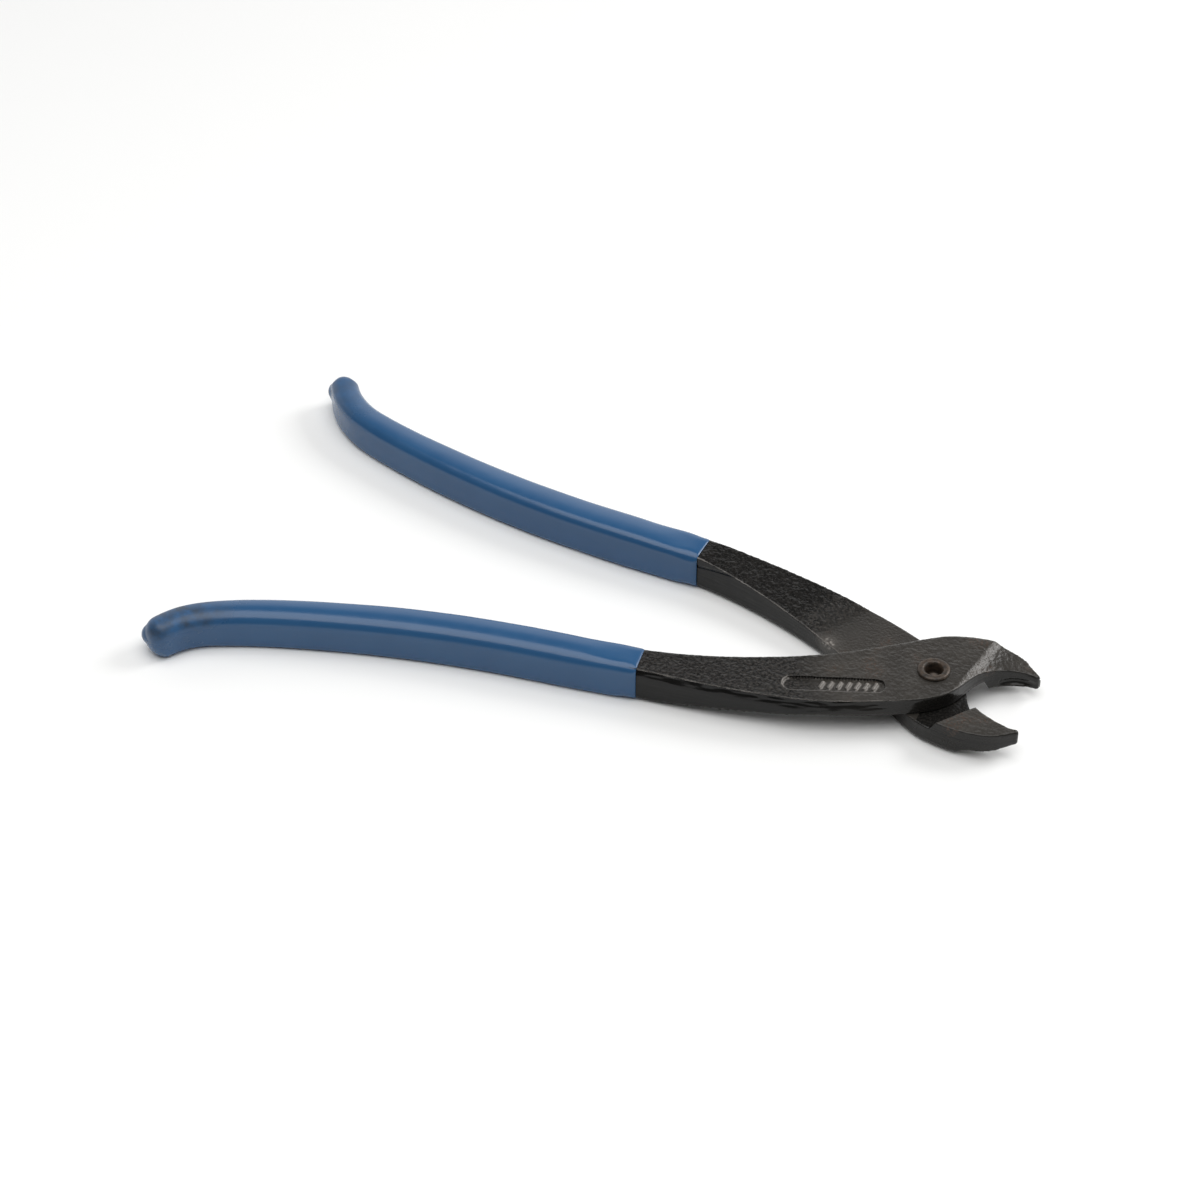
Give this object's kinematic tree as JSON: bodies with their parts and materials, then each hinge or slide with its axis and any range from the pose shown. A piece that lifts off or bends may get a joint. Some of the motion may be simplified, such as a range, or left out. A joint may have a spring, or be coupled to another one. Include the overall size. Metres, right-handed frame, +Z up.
{
  "type": "ring closing pliers",
  "caption": "Forged hand pliers with curved grooved beak jaws, a lap joint on a tubular rivet, and long dipped handles with hooked ends.",
  "frame": {"origin": "on the rivet's axis, at the plane the closed tool lies on", "axes": "+X towards the jaws along the tool's middle line, +Z up along the rivet's axis, +Y towards the upper lever's jaw"},
  "size_m": [0.2447, 0.1304, 0.013],
  "materials": {
    "forged_steel": "black oxide over a forged skin, satin",
    "rivet_steel": "darkened steel, satin, lightly browned",
    "grip_vinyl": "dipped soft vinyl, satin gloss"
  },
  "bodies": {
    "upper_half": {"upper_lever": "forged_steel", "upper_grip": "grip_vinyl", "pivot_rivet": "rivet_steel"},
    "lower_half": {"lower_lever": "forged_steel", "lower_grip": "grip_vinyl"}
  },
  "joints": [
    {"name": "handle_pivot", "type": "hinge", "parent": "upper_half", "child": "lower_half", "pos_m": [0, 0, 0.0065], "axis": [0, 0, 1], "range_deg": [-33, 20]}
  ]
}
